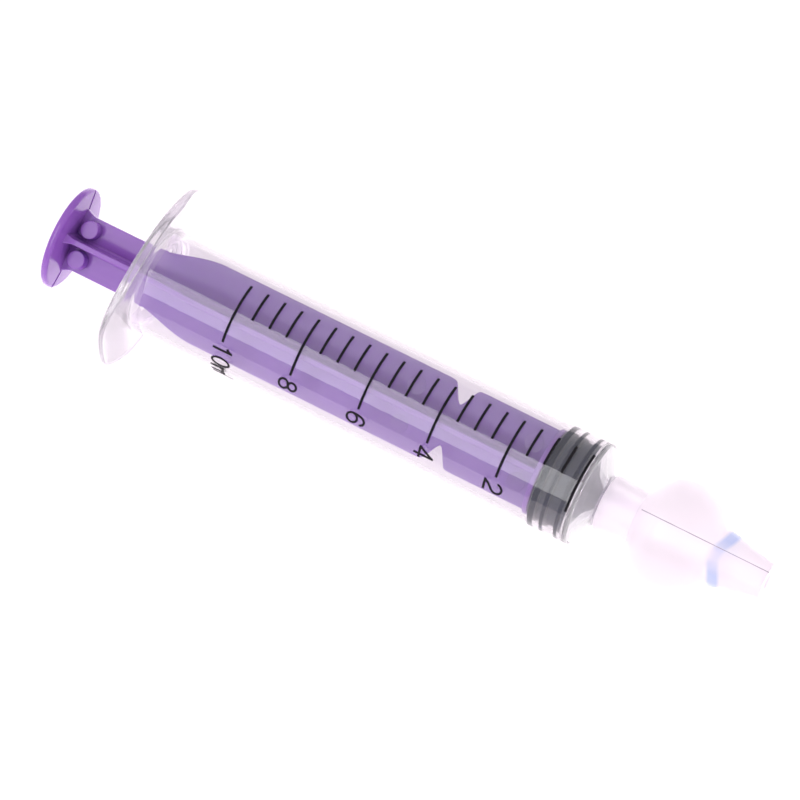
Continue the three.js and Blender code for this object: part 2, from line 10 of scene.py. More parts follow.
import bmesh
import bpy
from mathutils import Matrix, Vector


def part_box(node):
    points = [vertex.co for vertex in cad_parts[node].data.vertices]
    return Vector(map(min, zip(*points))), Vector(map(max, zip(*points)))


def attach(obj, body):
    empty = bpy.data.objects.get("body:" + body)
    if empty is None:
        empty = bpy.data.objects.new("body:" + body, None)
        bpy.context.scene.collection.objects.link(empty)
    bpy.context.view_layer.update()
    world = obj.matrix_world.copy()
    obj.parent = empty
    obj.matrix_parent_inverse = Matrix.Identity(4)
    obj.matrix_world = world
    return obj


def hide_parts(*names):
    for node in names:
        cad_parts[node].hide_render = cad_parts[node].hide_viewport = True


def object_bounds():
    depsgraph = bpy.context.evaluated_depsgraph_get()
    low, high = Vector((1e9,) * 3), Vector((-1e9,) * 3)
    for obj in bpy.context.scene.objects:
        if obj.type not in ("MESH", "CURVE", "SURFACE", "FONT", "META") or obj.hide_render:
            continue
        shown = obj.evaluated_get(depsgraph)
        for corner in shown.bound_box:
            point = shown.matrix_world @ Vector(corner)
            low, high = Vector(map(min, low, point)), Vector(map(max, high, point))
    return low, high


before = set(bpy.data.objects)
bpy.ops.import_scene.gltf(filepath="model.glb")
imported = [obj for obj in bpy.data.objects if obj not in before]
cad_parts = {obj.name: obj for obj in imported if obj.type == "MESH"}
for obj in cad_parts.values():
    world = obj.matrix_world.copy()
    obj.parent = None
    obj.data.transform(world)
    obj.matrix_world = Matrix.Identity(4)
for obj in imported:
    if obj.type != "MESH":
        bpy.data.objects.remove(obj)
cad_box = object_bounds()

MM = 0.001

# Places taken from the frame.
BARREL_LOW, BARREL_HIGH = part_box("barrel")
FLANGE_REAR_X = BARREL_LOW[0]
AXIS_Z = (BARREL_LOW[2] + BARREL_HIGH[2]) / 2
FLOOR_Z = cad_box[0][2]

# Sizes of the barrel, in millimetres.
BORE_RADIUS = 7.35
BORE_END = 76.3
BARREL_RADIUS = 8.35
BARREL_SEGMENTS = 192
MOUTH_EDGE_RADIUS = 7.85
LEAD_IN_RADIUS = 7.65
LEAD_IN_START = 0.6
LEAD_IN_END = 3.0
SHOULDER_STATION = 77.2
HUB_STATION = 79.3
HUB_RADIUS = 4.35
NOZZLE_ROOT_RADIUS = 2.15
NOZZLE_END_RADIUS = 1.93
NOZZLE_END = 87
CHANNEL_RADIUS = 1.0
CHANNEL_START = 79.1
FLANGE_THICKNESS = 1.6
FLANGE_WING_THICKNESS = 0.85
FLANGE_TAPER_START = 9.0
FLANGE_TAPER_END = 14.0
FLANGE_HALF_HEIGHT = 10.6
FLANGE_ELLIPSE_HALF_WIDTH = 17.0
FLANGE_HALF_WIDTH = 15.2
FLANGE_CORNER_SHARPNESS = 16
FLANGE_EDGE = 0.32
FLANGE_FACE_RINGS = 6
FLANGE_FACE_INSET = 0.7
FLANGE_FACE_INNER_RADIUS = 9.9 - FLANGE_FACE_INSET

# Where the barrel's material changes, as stations and radii.
FLANGE_LOOK_END = 2.3
NOSE_LOOK_START = 77.0
CHANNEL_LOOK_RADIUS = 1.2
BORE_LOOK_RADIUS = 7.5

# Sizes of the plunger rod.
PLUNGER_ROLL = 31.0
THUMB_DISC_RADIUS = 8.3
THUMB_DISC_REAR = -14.3
THUMB_DISC_FRONT = -12.85
THUMB_DISC_RIM = 1.15
THUMB_DISC_EDGE = 0.45
THUMB_DISC_FLAT_RADIUS = 4.5
RIB_REACH = 6.6
RIB_SLIM_REACH = 4.5
RIB_FLARE_LENGTH = 11.0
RIB_FLARE_POWER = 0.85
RIB_FOOT_REACH = 0.7
RIB_FOOT_LENGTH = 1.9
RIB_FOOT_WIDTH = 0.35
RIB_FOOT_WIDTH_LENGTH = 1.2
RIB_ROOT_HALF_THICKNESS = 0.52
RIB_EDGE_HALF_THICKNESS = 0.42
RIB_EDGE_RADIUS = 0.14
RIB_FILLET = 0.5
NOTCH_STATION = 53.05
NOTCH_FLOOR = 3.45
NOTCH_FLOOR_RADIUS = 0.5
NOTCH_FLANK_SLOPE = 2.15
NOTCH_SHOULDER = 0.55
NOTCH_TRIM = 0.02
# Where the ribs are cut into rings, as (start, spacing, count): closely at the foot, the flare and
# the notch.
RIB_STATION_RUNS = (
    (THUMB_DISC_FRONT - 0.3, 0.15, 16),
    (-10.5, 1.0, 10),
    (-0.5, 0.5, 26),
    (14.0, 2.0, 18),
    (49.3, 0.12, 64),
    (58.0, 2.0, 6),
    (69.5, 0.0, 1),
)
FRONT_DISC_REAR = 69.2
FRONT_DISC_FACE = 70.05
FRONT_DISC_RADIUS = 7.0
NECK_RADIUS = 2.4
HEAD_REAR = 71.7
HEAD_FRONT = 74.0
HEAD_RADIUS = 3.6
PAD = {"offset": 2.5, "radius": 1.5, "height": 2.0}
PAD_STATION = -10.8
WITNESS_MARK = {"offset": 3.25, "radius": 1.5, "height": 0.06}
WITNESS_MARK_STATIONS = (45.8, 66.0)
BLADE_FACE_HEIGHT = 0.45
BOSS_FOOT_HEIGHT = 0.1
BOSS_SEGMENTS = 40
BOSS_DRAFT = 0.04
RIDGE_WIDTH = 0.26
RIDGE_HEIGHT = 0.1

# Sizes of the stopper.
STOPPER_REAR = 70.2
STOPPER_RINGS = ((70.3, 71.55), (72.3, 73.25), (74.75, 75.7))
STOPPER_RING_RADIUS = 7.37
STOPPER_RING_SLOPE = 0.05
STOPPER_GROOVE_RADIUS = 6.85
STOPPER_NOSE_ROOT = 76.9
STOPPER_NOSE_ROOT_RADIUS = 3.1
STOPPER_NOSE_END = 78.5
STOPPER_NOSE_END_RADIUS = 1.2
SOCKET_MOUTH_RADIUS = 2.75
SOCKET_RADIUS = 3.95
SOCKET_START = 71.35
SOCKET_END = 74.35

# Sizes of the nasal tip.
TIP_REAR = 79.6
TIP_FRONT = 106.9
SLEEVE_RADIUS = 4.4
SLEEVE_FRONT_RADIUS = 4.42
BULB_STATION = 90.5
BULB_RADIUS = 8.9
BULB_REAR_LENGTH = 6.0
BULB_START = 85.45
BULB_END = 96.9
BULB_STEPS = 48
TIP_NECK_STATION = 98.3
TIP_NECK_RADIUS = 4.62
SPOUT_RADIUS = 2.9
TIP_CHANNEL_RADIUS = 1.1
TIP_SOCKET_END = 87.3
TIP_SOCKET_REAR_RADIUS = 2.17
TIP_SOCKET_FRONT_RADIUS = 1.95
PARTING_ANGLE = 25.2
PARTING_OFFSET = 1.35
PARTING_START = 86.2
PARTING_INNER_RADIUS = 2.6
PARTING_WIDTH = 0.16
PARTING_HEIGHT = 0.035
PARTING_SUNK = 0.03
NECK_RING_START = 97.5
NECK_RING_END = 99.9
NECK_RING_LEAN = 1.1
NECK_RING_LEAN_WIDTH = 4.0
NECK_RING_WEAK_WIDTH = 0.6
NECK_RING_FULL_WIDTH = 2.8

# The camera looks from the front right and from above, far away through a long lens.
CAMERA_AZIMUTH = 29.33
CAMERA_ELEVATION = 61.61
CAMERA_DISTANCE = 0.8607
CAMERA_LENS = 256.3
CAMERA_AIM = (FLANGE_REAR_X + 0.04437, -0.0002, AXIS_Z + 0.0005)

# The stage: a floor, a softbox and a world. The levels are explained in stage_level.
FLOOR_HALF_SIZE = 0.45
FLOOR_LEVELS = {"seen": 0.98, "through": 0.71, "mirrored": 1.85, "inside": 1.85, "lit": 1.85}
WORLD_LEVELS = {"seen": 1.0, "through": 0.86, "mirrored": 0.75, "inside": 2.2, "lit": 1.0}
SOFTBOX_DIRECTION = (-0.235, -0.575, 0.783)
SOFTBOX_DISTANCE = 1.1
SOFTBOX_WIDTH = 1.0
SOFTBOX_LENGTH = 0.36
SOFTBOX_POWER = 4.6


# Outlines and meshes ------------------------------------------------------------------------

ARC_STEPS = 5
MOST_OF_EDGE = 0.45
ARC_AND_SUPPORT = 0.48


def rounded(corners, closed=True):
    """Rounds the corners (radius, station, rounding) of an outline with arcs.

    A point just outside each arc keeps the shading of long straight stretches flat. An arc and
    that point stay on their half of each edge.
    """
    points = []
    count = len(corners)
    for index, (radius, station, rounding) in enumerate(corners):
        here = Vector((radius, station))
        ends = not closed and index in (0, count - 1)
        if ends or not rounding:
            points.append(here)
            continue
        before = Vector(corners[index - 1][:2]) - here
        after = Vector(corners[(index + 1) % count][:2]) - here
        half = before.angle(after) / 2
        shortest = min(before.length, after.length)
        reach = min(rounding / math.tan(half), MOST_OF_EDGE * shortest)
        size = reach * math.tan(half)
        spare = ARC_AND_SUPPORT * shortest - reach
        support = max(0.0, min(0.3 * reach + 0.03, spare))
        before.normalize()
        after.normalize()
        middle = (before + after).normalized()
        centre = here + middle * math.hypot(reach, size)
        points.append(here + before * (reach + support))
        first = here + before * reach - centre
        last = here + after * reach - centre
        for step in range(ARC_STEPS + 1):
            points.append(centre + first.slerp(last, step / ARC_STEPS).normalized() * size)
        points.append(here + after * (reach + support))
    return [(point.x, point.y) for point in points]


def on_axis(radius, station, angle):
    """The row-frame point at a radius, station and angle (radians)."""
    x = FLANGE_REAR_X + station * MM
    return Vector((x, -radius * MM * math.sin(angle), AXIS_Z + radius * MM * math.cos(angle)))


def finished_mesh(name, bm, sharp_degrees=35.0):
    """Turns a bmesh into an object with outward faces, smooth but for its sharp edges."""
    bmesh.ops.remove_doubles(bm, verts=bm.verts, dist=1e-7)
    bmesh.ops.dissolve_degenerate(bm, edges=bm.edges, dist=1e-8)
    bmesh.ops.recalc_face_normals(bm, faces=bm.faces)
    limit = math.radians(sharp_degrees)
    for face in bm.faces:
        face.smooth = True
    for edge in bm.edges:
        edge.smooth = edge.calc_face_angle(0.0) < limit
    mesh = bpy.data.meshes.new(name)
    bm.to_mesh(mesh)
    bm.free()
    piece = bpy.data.objects.new(name, mesh)
    bpy.context.collection.objects.link(piece)
    return piece


def add_rings(bm, rings, all_round, closed):
    """Joins rows of points, each the same length, with quads.

    all_round joins the last row to the first, and closed joins each row's last point to its first.
    """
    made = [[bm.verts.new(point) for point in ring] for ring in rings]
    pairs = zip(made, made[1:] + made[:1]) if all_round else zip(made, made[1:])
    for ring, other in pairs:
        last = len(ring) if closed else len(ring) - 1
        for i in range(last):
            j = (i + 1) % len(ring)
            bm.faces.new([ring[i], ring[j], other[j], other[i]])
    return made


def add_capped_rings(bm, rings):
    """Joins closed rings of points into a closed rod."""
    made = add_rings(bm, rings, all_round=False, closed=True)
    for ring in (made[0], made[-1]):
        bm.faces.new(ring)


def revolve(bm, outline_at, closed=True, segments=144):
    """Turns an outline about the axis. outline_at(angle) gives the outline's points there."""
    rings = []
    for step in range(segments):
        angle = 2 * math.pi * step / segments
        rings.append([on_axis(radius, station, angle) for radius, station in outline_at(angle)])
    add_rings(bm, rings, all_round=True, closed=closed)


def set_region(piece, material_index, belongs):
    """Gives the faces whose middle (station, radius) passes the test another material."""
    for face in piece.data.polygons:
        middle = face.center
        station = (middle.x - FLANGE_REAR_X) / MM
        radius = math.hypot(middle.y, middle.z - AXIS_Z) / MM
        if belongs(station, radius):
            face.material_index = material_index


# Barrel -------------------------------------------------------------------------------------

def flange_reach(angle):
    """The flange's outline: an ellipse with its two ends cut straight and the corners blended."""
    across, up = abs(math.sin(angle)), abs(math.cos(angle))
    ellipse = math.hypot(across / FLANGE_ELLIPSE_HALF_WIDTH, up / FLANGE_HALF_HEIGHT)
    end = across / FLANGE_HALF_WIDTH
    power = FLANGE_CORNER_SHARPNESS
    return (ellipse ** power + end ** power) ** (-1 / power)


def flange_front(angle, radius):
    """The station of the flange's front face: the two wings taper toward their ends."""
    across = abs(radius * math.sin(angle))
    taper = (across - FLANGE_TAPER_START) / (FLANGE_TAPER_END - FLANGE_TAPER_START)
    taper = min(max(taper, 0.0), 1.0)
    return FLANGE_THICKNESS + (FLANGE_WING_THICKNESS - FLANGE_THICKNESS) * taper


def barrel_outline(angle):
    """The barrel's wall cut at an angle, once round: flange, tube, cone, nozzle, channel, bore."""
    flange = flange_reach(angle)
    corners = [
        (MOUTH_EDGE_RADIUS, 0, 0.3),
        (flange, 0, FLANGE_EDGE),
        (flange, flange_front(angle, flange), FLANGE_EDGE)]
    outer = flange - FLANGE_FACE_INSET
    for step in range(FLANGE_FACE_RINGS):
        radius = outer - (outer - FLANGE_FACE_INNER_RADIUS) * step / (FLANGE_FACE_RINGS - 1)
        corners.append((radius, flange_front(angle, radius), 0))
    return rounded(corners + [
        (BARREL_RADIUS, FLANGE_THICKNESS, 0.6),
        (BARREL_RADIUS, SHOULDER_STATION, 0.5),
        (HUB_RADIUS, HUB_STATION, 0.2),
        (NOZZLE_ROOT_RADIUS, HUB_STATION, 0.15),
        (NOZZLE_END_RADIUS, NOZZLE_END, 0.25),
        (CHANNEL_RADIUS, NOZZLE_END, 0.1),
        (CHANNEL_RADIUS, CHANNEL_START, 0.5),
        (BORE_RADIUS, BORE_END, 0.5),
        (BORE_RADIUS, LEAD_IN_END, 4.0),
        (LEAD_IN_RADIUS, LEAD_IN_START, 1.0),
    ])


def make_barrel():
    bm = bmesh.new()
    revolve(bm, barrel_outline, segments=BARREL_SEGMENTS)
    piece = finished_mesh("barrel_shell", bm)

    def flange(station, radius):
        return station < FLANGE_LOOK_END

    def nose(station, radius):
        return station > NOSE_LOOK_START and radius > CHANNEL_LOOK_RADIUS

    def bore(station, radius):
        inside = CHANNEL_LOOK_RADIUS < radius < BORE_LOOK_RADIUS
        return inside and FLANGE_LOOK_END < station < BORE_END

    for index, belongs in enumerate((flange, nose, bore), start=1):
        set_region(piece, index, belongs)
    return piece


# Plunger rod --------------------------------------------------------------------------------

def smoothstep(value):
    value = min(max(value, 0.0), 1.0)
    return value * value * (3 - 2 * value)


def foot_share(station, length):
    """Falls in a curve from 1 at the thumb disc's front to 0 a length away."""
    return max(0.0, 1 - (station - THUMB_DISC_FRONT) / length) ** 2


def rib_reach(station, notched):
    """How far a rib reaches from the axis: foot, slim finger length, flare, full reach, notch."""
    flare = smoothstep(station / RIB_FLARE_LENGTH) ** RIB_FLARE_POWER
    reach = RIB_SLIM_REACH + (RIB_REACH - RIB_SLIM_REACH) * flare
    reach += RIB_FOOT_REACH * foot_share(station, RIB_FOOT_LENGTH)
    if notched:
        reach -= notch_depth(station - NOTCH_STATION)
    return reach


def notch_depth(offset):
    """A V with a small rounded floor and wide rounded shoulders."""
    distance = math.sqrt(offset * offset + NOTCH_FLOOR_RADIUS ** 2) - NOTCH_FLOOR_RADIUS
    straight = RIB_REACH - NOTCH_FLOOR - NOTCH_FLANK_SLOPE * distance
    if straight <= -4 * NOTCH_SHOULDER:
        return 0.0
    return (straight + math.sqrt(straight * straight + NOTCH_SHOULDER ** 2)) / 2 - NOTCH_TRIM


def rod_section(station):
    """The cross of four ribs at a station, as points (across, up) round the axis."""
    widen = RIB_FOOT_WIDTH * foot_share(station, RIB_FOOT_WIDTH_LENGTH)
    root = RIB_ROOT_HALF_THICKNESS + widen
    tip = RIB_EDGE_HALF_THICKNESS + widen
    fillet, edge = RIB_FILLET, RIB_EDGE_RADIUS
    points = []
    for turn in range(4):
        reach = rib_reach(station, notched=turn % 2 == 1)
        rib = [(root, root + fillet), (tip, reach - 2.5 * edge)]
        for step in range(4):
            angle = math.radians(30 * step)
            rib.append((tip - edge + edge * math.cos(angle), reach - edge + edge * math.sin(angle)))
        rib += [(-across, outward) for across, outward in reversed(rib)]
        for step in range(1, 4):
            angle = math.radians(22.5 * step)
            rib.append((-root - fillet + fillet * math.cos(angle), root + fillet - fillet * math.sin(angle)))
        roll = math.radians(PLUNGER_ROLL + 90 * turn)
        for across, outward in rib:
            points.append((across * math.cos(roll) + outward * math.sin(roll),
                           outward * math.cos(roll) - across * math.sin(roll)))
    return points


def add_ribs(bm):
    rings = []
    for start, spacing, count in RIB_STATION_RUNS:
        for index in range(count):
            station = start + spacing * index
            x = FLANGE_REAR_X + station * MM
            rings.append([Vector((x, -across * MM, AXIS_Z + up * MM)) for across, up in rod_section(station)])
    add_capped_rings(bm, rings)


def add_boss(bm, station, side_sign, offset, radius, height):
    """A round moulded boss with a rounded top edge on the blades' upper face, beside the top rib."""
    roll = math.radians(PLUNGER_ROLL)
    outward = Vector((0, -math.sin(roll), math.cos(roll)))
    across = Vector((0, -math.cos(roll), -math.sin(roll)))
    along = Vector((1, 0, 0))
    centre = Vector((FLANGE_REAR_X + station * MM, 0, AXIS_Z)) + across * offset * side_sign * MM
    round_off = min(0.15, 0.6 * height)
    top = BLADE_FACE_HEIGHT + height
    outline = rounded([
        (0, BOSS_FOOT_HEIGHT, 0),
        (radius, BOSS_FOOT_HEIGHT, 0),
        (radius - BOSS_DRAFT * height, top, round_off),
        (0, top, 0)], closed=False)
    rings = []
    for step in range(BOSS_SEGMENTS):
        angle = 2 * math.pi * step / BOSS_SEGMENTS
        side = along * math.cos(angle) + across * math.sin(angle)
        rings.append([centre + side * reach * MM + outward * up * MM for reach, up in outline])
    add_rings(bm, rings, all_round=True, closed=False)


def add_strip(bm, path, width, height, sunk):
    """A fine raised line. path holds (point, outward, side) with unit vectors, in metres."""
    section = ((-0.5, -sunk), (-0.3, height), (0.3, height), (0.5, -sunk))
    rings = []
    for point, outward, side in path:
        rings.append([point + side * across * width * MM + outward * up * MM for across, up in section])
    add_capped_rings(bm, rings)


def add_disc_ridge(bm, angle):
    """The mould's parting line across the thumb disc's front face, in the blades' plane."""
    outward = Vector((1, 0, 0))
    side = Vector((0, math.cos(angle), math.sin(angle)))
    rim_front = THUMB_DISC_REAR + THUMB_DISC_RIM
    inner, run, steps = THUMB_DISC_FLAT_RADIUS + 0.1, 3.62, 11
    bend_start, bend_run, bend_drop = 7.8, 0.42, 0.12
    path = []
    for step in range(steps + 1):
        radius = inner + run * step / steps
        slope = (radius - THUMB_DISC_FLAT_RADIUS) / (THUMB_DISC_RADIUS - THUMB_DISC_FLAT_RADIUS)
        station = THUMB_DISC_FRONT + (rim_front - THUMB_DISC_FRONT) * slope
        drop = bend_drop * max(0.0, (radius - bend_start) / bend_run) ** 2
        path.append((on_axis(radius, station - drop, angle), outward, side))
    add_strip(bm, path, RIDGE_WIDTH, RIDGE_HEIGHT, RIDGE_HEIGHT)


def make_rod():
    bm = bmesh.new()
    thumb_disc = rounded([
        (0, THUMB_DISC_REAR, 0),
        (THUMB_DISC_RADIUS, THUMB_DISC_REAR, THUMB_DISC_EDGE),
        (THUMB_DISC_RADIUS, THUMB_DISC_REAR + THUMB_DISC_RIM, THUMB_DISC_EDGE),
        (THUMB_DISC_FLAT_RADIUS, THUMB_DISC_FRONT, 0.5),
        (0, THUMB_DISC_FRONT, 0)], closed=False)
    revolve(bm, lambda angle: thumb_disc, closed=False)
    head = rounded([
        (0, FRONT_DISC_REAR, 0),
        (FRONT_DISC_RADIUS, FRONT_DISC_REAR, 0.15),
        (FRONT_DISC_RADIUS, FRONT_DISC_FACE, 0.2),
        (NECK_RADIUS, FRONT_DISC_FACE, 0.2),
        (NECK_RADIUS, HEAD_REAR, 0.2),
        (HEAD_RADIUS, HEAD_REAR + 0.2, 0.3),
        (HEAD_RADIUS - 0.2, HEAD_FRONT, 1.0),
        (0, HEAD_FRONT, 0)], closed=False)
    revolve(bm, lambda angle: head, closed=False, segments=96)
    add_ribs(bm)
    for side in (-1, 1):
        add_disc_ridge(bm, math.radians(PLUNGER_ROLL + 90 * side))
        add_boss(bm, PAD_STATION, side, **PAD)
        for station in WITNESS_MARK_STATIONS:
            add_boss(bm, station, side, **WITNESS_MARK)
    return finished_mesh("plunger_rod_moulding", bm)


# Stopper ------------------------------------------------------------------------------------

def make_stopper():
    corners = [(SOCKET_MOUTH_RADIUS, STOPPER_REAR, 0.1), (STOPPER_GROOVE_RADIUS, STOPPER_REAR, 0.15)]
    for start, end in STOPPER_RINGS:
        corners += [
            (STOPPER_GROOVE_RADIUS, start, 0.1),
            (STOPPER_RING_RADIUS, start + STOPPER_RING_SLOPE, 0.25),
            (STOPPER_RING_RADIUS, end - STOPPER_RING_SLOPE, 0.25),
            (STOPPER_GROOVE_RADIUS, end, 0.1)]
    outline = rounded(corners + [
        (STOPPER_NOSE_ROOT_RADIUS, STOPPER_NOSE_ROOT, 0.25),
        (STOPPER_NOSE_END_RADIUS, STOPPER_NOSE_END, 0.4),
        (0, STOPPER_NOSE_END, 0),
        (0, SOCKET_END, 0),
        (SOCKET_RADIUS, SOCKET_END, 0.2),
        (SOCKET_RADIUS, SOCKET_START, 0.2),
        (SOCKET_MOUTH_RADIUS, SOCKET_START, 0.2),
    ])
    bm = bmesh.new()
    revolve(bm, lambda angle: outline)
    return finished_mesh("stopper_rubber", bm)


# Nasal tip ----------------------------------------------------------------------------------

def bulb_reach(station):
    """Half an ellipsoid behind the bulb's middle and half a sphere before it."""
    offset = station - BULB_STATION
    length = BULB_REAR_LENGTH if offset < 0 else BULB_RADIUS
    return BULB_RADIUS * math.sqrt(1 - (offset / length) ** 2)


def make_tip():
    corners = [
        (TIP_SOCKET_REAR_RADIUS, TIP_REAR, 0.15),
        (SLEEVE_RADIUS, TIP_REAR, 0.35),
        (SLEEVE_FRONT_RADIUS, BULB_START, 0.3)]
    for step in range(1, BULB_STEPS + 1):
        share = (1 - math.cos(math.pi * step / BULB_STEPS)) / 2
        station = BULB_START + (BULB_END - BULB_START) * share
        corners.append((bulb_reach(station), station, 0))
    outline = rounded(corners + [
        (TIP_NECK_RADIUS, TIP_NECK_STATION, 1.2),
        (SPOUT_RADIUS, TIP_FRONT, 0.4),
        (TIP_CHANNEL_RADIUS, TIP_FRONT, 0.25),
        (TIP_CHANNEL_RADIUS, TIP_SOCKET_END, 0.1),
        (TIP_SOCKET_FRONT_RADIUS, TIP_SOCKET_END, 0.1),
    ])
    bm = bmesh.new()
    revolve(bm, lambda angle: outline)
    body_faces = len(bm.faces)
    outside = [(radius, station) for radius, station in outline
               if radius > PARTING_INNER_RADIUS and station > PARTING_START]
    for turn in (0.0, math.pi):
        add_parting_line(bm, outside, turn)
    piece = finished_mesh("nasal_tip_silicone", bm, sharp_degrees=50.0)
    # The flash lines get the seam look, whose dark grey is painted shade.
    for face in piece.data.polygons[body_faces:]:
        face.material_index = 1
    return piece


def add_parting_line(bm, outline, turn):
    """A fine flash line along the tip where the halves of its mould met."""
    path = []
    for index, (radius, station) in enumerate(outline):
        before, after = outline[max(index - 1, 0)], outline[min(index + 1, len(outline) - 1)]
        angle = turn + math.radians(PARTING_ANGLE) - math.asin(PARTING_OFFSET / radius)
        along = Vector((after[0] - before[0], after[1] - before[1])).normalized()
        radial = Vector((0, -math.sin(angle), math.cos(angle)))
        outward = radial * along.y - Vector((1, 0, 0)) * along.x
        side = Vector((0, math.cos(angle), math.sin(angle)))
        path.append((on_axis(radius, station, angle), outward, side))
    add_strip(bm, path, PARTING_WIDTH, PARTING_HEIGHT, PARTING_SUNK)


# Materials ----------------------------------------------------------------------------------

NOISE_MIDDLE = (0.35, 0.65)


def new_material(name):
    material = bpy.data.materials.new(name)
    material.use_nodes = True
    nodes = material.node_tree.nodes
    nodes.clear()
    shader = nodes.new("ShaderNodeBsdfPrincipled")
    output = nodes.new("ShaderNodeOutputMaterial")
    material.node_tree.links.new(shader.outputs["BSDF"], output.inputs["Surface"])
    return material, shader, output


def feed(tree, socket, operand):
    """Gives a node's input another node's output, or a plain value."""
    if isinstance(operand, bpy.types.NodeSocket):
        tree.links.new(operand, socket)
    else:
        socket.default_value = operand


def calculate(tree, operation, first, second=0.0, clamp=False):
    """A Math node. Each operand is a socket or a number."""
    node = tree.nodes.new("ShaderNodeMath")
    node.operation = operation
    node.use_clamp = clamp
    feed(tree, node.inputs[0], first)
    feed(tree, node.inputs[1], second)
    return node.outputs["Value"]


def rescale(tree, source, source_range, result_range, smooth=False):
    """A Map Range node, which clamps. The ends of the result's range are sockets or numbers."""
    node = tree.nodes.new("ShaderNodeMapRange")
    if smooth:
        node.interpolation_type = "SMOOTHSTEP"
    feed(tree, node.inputs["Value"], source)
    for names, ends in ((("From Min", "From Max"), source_range), (("To Min", "To Max"), result_range)):
        for name, end in zip(names, ends):
            feed(tree, node.inputs[name], end)
    return node.outputs["Result"]


def noise(material, scale, detail=3.0, stretch=(1, 1, 1)):
    """Noise in the object's own coordinates, with a feature size of about 1 / scale metres."""
    tree = material.node_tree
    place = tree.nodes.new("ShaderNodeTexCoord")
    mapping = tree.nodes.new("ShaderNodeMapping")
    mapping.inputs["Scale"].default_value = stretch
    texture = tree.nodes.new("ShaderNodeTexNoise")
    texture.inputs["Scale"].default_value = scale
    texture.inputs["Detail"].default_value = detail
    tree.links.new(place.outputs["Object"], mapping.inputs["Vector"])
    tree.links.new(mapping.outputs["Vector"], texture.inputs["Vector"])
    return texture.outputs["Fac"]


def ramp(material, source, low, high):
    """A colour or grey that runs from low to high over the middle of a noise's range."""
    node = material.node_tree.nodes.new("ShaderNodeValToRGB")
    for stop, position, level in zip(node.color_ramp.elements, NOISE_MIDDLE, (low, high)):
        stop.position = position
        stop.color = (*level, 1) if isinstance(level, tuple) else (level, level, level, 1)
    material.node_tree.links.new(source, node.inputs["Fac"])
    return node.outputs["Color"]


def bump(material, shader, source, height_mm):
    node = material.node_tree.nodes.new("ShaderNodeBump")
    node.inputs["Distance"].default_value = height_mm * MM
    node.inputs["Strength"].default_value = 1.0
    material.node_tree.links.new(source, node.inputs["Height"])
    material.node_tree.links.new(node.outputs["Normal"], shader.inputs["Normal"])


def let_light_through(material, shader, output, tint):
    """Shadow rays cross the clear material, so light reaches what is inside and behind it."""
    tree = material.node_tree
    path = tree.nodes.new("ShaderNodeLightPath")
    clear = tree.nodes.new("ShaderNodeBsdfTransparent")
    clear.inputs["Color"].default_value = (*tint, 1)
    mix = tree.nodes.new("ShaderNodeMixShader")
    tree.links.new(path.outputs["Is Shadow Ray"], mix.inputs["Fac"])
    tree.links.new(shader.outputs["BSDF"], mix.inputs[1])
    tree.links.new(clear.outputs["BSDF"], mix.inputs[2])
    tree.links.new(mix.outputs["Shader"], output.inputs["Surface"])


def clear_plastic(name, transmission, haze, tint, smooth=False):
    """Translucent polypropylene with a faint pink-lavender cast, soft flow lines and fine haze."""
    material, shader, output = new_material(name)
    link = material.node_tree.links.new
    shader.inputs["Transmission Weight"].default_value = transmission
    shader.inputs["IOR"].default_value = 1.49
    deep = tuple(0.985 * level for level in tint)
    cast = ramp(material, noise(material, 60), deep, tint)
    link(cast, shader.inputs["Base Color"])
    cloud = ramp(material, noise(material, 700, stretch=(0.2, 1, 1)), 0.7 * haze, 1.3 * haze)
    link(cloud, shader.inputs["Roughness"])
    if not smooth:
        bump(material, shader, noise(material, 260, detail=1.0, stretch=(0.15, 1, 1)), 0.003)
    let_light_through(material, shader, output, (0.8, 0.86, 0.88))
    return material


def purple_plastic():
    """Opaque purple polypropylene with a fine moulded grain and slightly uneven pigment."""
    material, shader, _ = new_material("purple_plastic_look")
    link = material.node_tree.links.new
    pigment = ramp(material, noise(material, 220, stretch=(0.3, 1, 1)),
                   (0.212, 0.076, 0.372), (0.236, 0.089, 0.40))
    link(pigment, shader.inputs["Base Color"])
    link(ramp(material, noise(material, 1500), 0.16, 0.24), shader.inputs["Roughness"])
    shader.inputs["Specular IOR Level"].default_value = 0.35
    shader.inputs["Subsurface Weight"].default_value = 0.15
    shader.inputs["Subsurface Radius"].default_value = (0.0008, 0.0003, 0.0012)
    shader.inputs["Subsurface Scale"].default_value = 1.0
    bump(material, shader, noise(material, 4000, detail=2.0), 0.002)
    return material


def grey_rubber():
    """Dark blue-grey rubber, satin, with fine mottling."""
    material, shader, _ = new_material("grey_rubber_look")
    link = material.node_tree.links.new
    link(ramp(material, noise(material, 900, detail=6.0), (0.003, 0.005, 0.028), (0.006, 0.009, 0.040)),
         shader.inputs["Base Color"])
    link(ramp(material, noise(material, 1800), 0.42, 0.6), shader.inputs["Roughness"])
    shader.inputs["Specular IOR Level"].default_value = 0.15
    bump(material, shader, noise(material, 2600, detail=4.0), 0.012)
    return material


